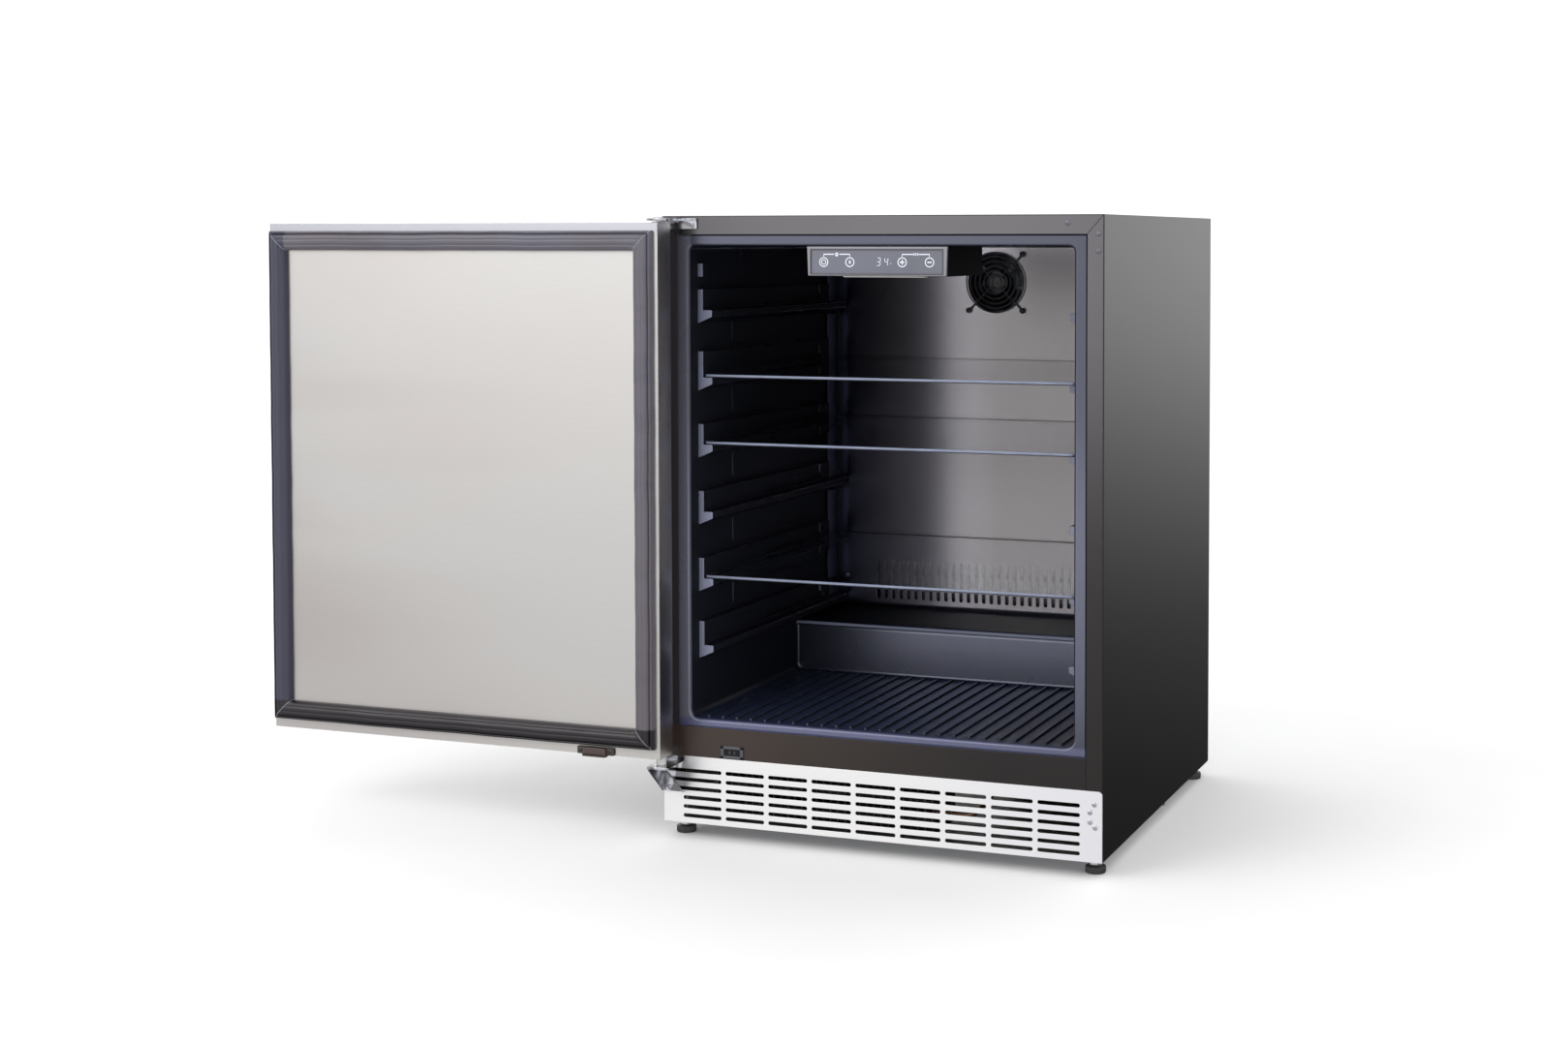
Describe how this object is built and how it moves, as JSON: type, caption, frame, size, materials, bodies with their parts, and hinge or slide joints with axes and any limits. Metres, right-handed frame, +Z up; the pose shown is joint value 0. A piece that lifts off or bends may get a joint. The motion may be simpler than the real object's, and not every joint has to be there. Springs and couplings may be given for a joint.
{
  "type": "undercounter refrigerator",
  "caption": "Black undercounter refrigerator with a stainless door swung open, glass shelves, a touch panel, an evaporator fan and a slotted kick plate.",
  "frame": {"origin": "centre of the cabinet's footprint, on the floor under the feet", "axes": "+X from the hinge side to the latch side, +Y from the front to the back, +Z up"},
  "size_m": [1.1605, 0.6375, 0.812],
  "materials": {
    "painted_black": "black textured powder coat",
    "frame_black": "black satin powder coat",
    "kick_stainless": "bright brushed stainless",
    "liner_black": "satin moulded black plastic",
    "cover_stainless": "fine brushed stainless",
    "door_stainless": "fine brushed stainless",
    "handle_stainless": "brushed stainless tube",
    "shelf_glass": "clear tempered glass",
    "bezel_silver": "satin silver",
    "panel_glass": "tinted gloss touch panel",
    "housing_black": "fine textured black plastic",
    "fan_black": "moulded black plastic",
    "guard_black": "black coated wire",
    "chrome": "polished",
    "screw_black": "black zinc",
    "pin_steel": "ground steel",
    "foam": "rigid polyurethane foam",
    "gasket": "satin extruded PVC",
    "rubber_black": "matt",
    "compressor_black": "gloss black enamel",
    "copper": "drawn copper",
    "fins": "mill finish",
    "galvanised": "galvanised",
    "circuit_board": "solder mask",
    "lens": "milky",
    "bush_white": "white acetal",
    "foot_black": "moulded nylon",
    "magnet_brown": "moulded dark brown"
  },
  "bodies": {
    "cabinet": {"side_panel_left": "painted_black", "side_panel_right": "painted_black", "top_panel": "painted_black", "back_panel": "galvanised", "rear_service_cover": "galvanised", "base_pan": "galvanised", "frame_top_rail": "frame_black", "frame_left_stile": "frame_black", "frame_right_stile": "frame_black", "frame_bottom_rail": "frame_black", "kick_plate": "kick_stainless", "cabinet_screws": "chrome", "liner": "liner_black", "compressor": "compressor_black", "compressor_grommets": "rubber_black", "base_bolts": "pin_steel", "start_relay": "housing_black", "drip_tray": "fan_black", "drain_tube": "lens", "condenser_coil": "compressor_black", "filter_drier": "copper", "refrigerant_tubing": "copper", "insulation_foam": "foam", "cord_gland": "housing_black", "evaporator_fan_frame": "fan_black", "condenser_fan_frame": "fan_black", "evaporator_cover": "cover_stainless", "evaporator_coil": "fins", "fan_guard": "guard_black", "fan_guard_screws": "screw_black", "cover_screws": "pin_steel", "control_bezel": "bezel_silver", "control_glass": "panel_glass", "control_board": "circuit_board", "control_housing": "housing_black", "led_lens": "lens", "hinge_bracket_top": "chrome", "hinge_bracket_bottom": "chrome", "hinge_pin_top": "pin_steel", "hinge_pin_bottom": "pin_steel", "hinge_screws": "chrome", "reed_switch": "housing_black"},
    "door": {"door_outer_panel": "door_stainless", "door_inner_panel": "door_stainless", "door_foam": "foam", "door_bushings": "bush_white", "door_gasket": "gasket", "handle_bar": "handle_stainless", "handle_posts": "handle_stainless", "door_magnet_block": "magnet_brown", "magnet_screws": "screw_black"},
    "shelf_upper": {"glass_shelf_upper": "shelf_glass"},
    "shelf_middle": {"glass_shelf_middle": "shelf_glass"},
    "shelf_lower": {"glass_shelf_lower": "shelf_glass"},
    "evaporator_fan": {"evaporator_fan_rotor": "fan_black"},
    "condenser_fan": {"condenser_fan_rotor": "fan_black"},
    "foot_fl": {"foot_front_left": "foot_black"},
    "foot_fr": {"foot_front_right": "foot_black"},
    "foot_rl": {"foot_rear_left": "foot_black"},
    "foot_rr": {"foot_rear_right": "foot_black"}
  },
  "joints": [
    {"name": "door_hinge", "type": "hinge", "parent": "cabinet", "child": "door", "pos_m": [-0.2845, -0.319, 0.46], "axis": [0, 0, 1], "range_deg": [0, 180]},
    {"name": "shelf_upper_slide", "type": "slide", "parent": "cabinet", "child": "shelf_upper", "axis": [0, 1, 0], "range_m": [-0.3, 0]},
    {"name": "shelf_middle_slide", "type": "slide", "parent": "cabinet", "child": "shelf_middle", "axis": [0, 1, 0], "range_m": [-0.3, 0]},
    {"name": "shelf_lower_slide", "type": "slide", "parent": "cabinet", "child": "shelf_lower", "axis": [0, 1, 0], "range_m": [-0.3, 0]},
    {"name": "evaporator_fan_spin", "type": "hinge", "parent": "cabinet", "child": "evaporator_fan", "pos_m": [-0.005, 0.221, 0.719], "axis": [0, 1, 0], "continuous": true},
    {"name": "condenser_fan_spin", "type": "hinge", "parent": "cabinet", "child": "condenser_fan", "pos_m": [-0.08, -0.155, 0.074], "axis": [0, 1, 0], "continuous": true},
    {"name": "foot_front_left_screw", "type": "slide", "parent": "cabinet", "child": "foot_fl", "axis": [0, 0, -1], "range_m": [0, 0.02]},
    {"name": "foot_front_right_screw", "type": "slide", "parent": "cabinet", "child": "foot_fr", "axis": [0, 0, -1], "range_m": [0, 0.02]},
    {"name": "foot_rear_left_screw", "type": "slide", "parent": "cabinet", "child": "foot_rl", "axis": [0, 0, -1], "range_m": [0, 0.02]},
    {"name": "foot_rear_right_screw", "type": "slide", "parent": "cabinet", "child": "foot_rr", "axis": [0, 0, -1], "range_m": [0, 0.02]}
  ]
}
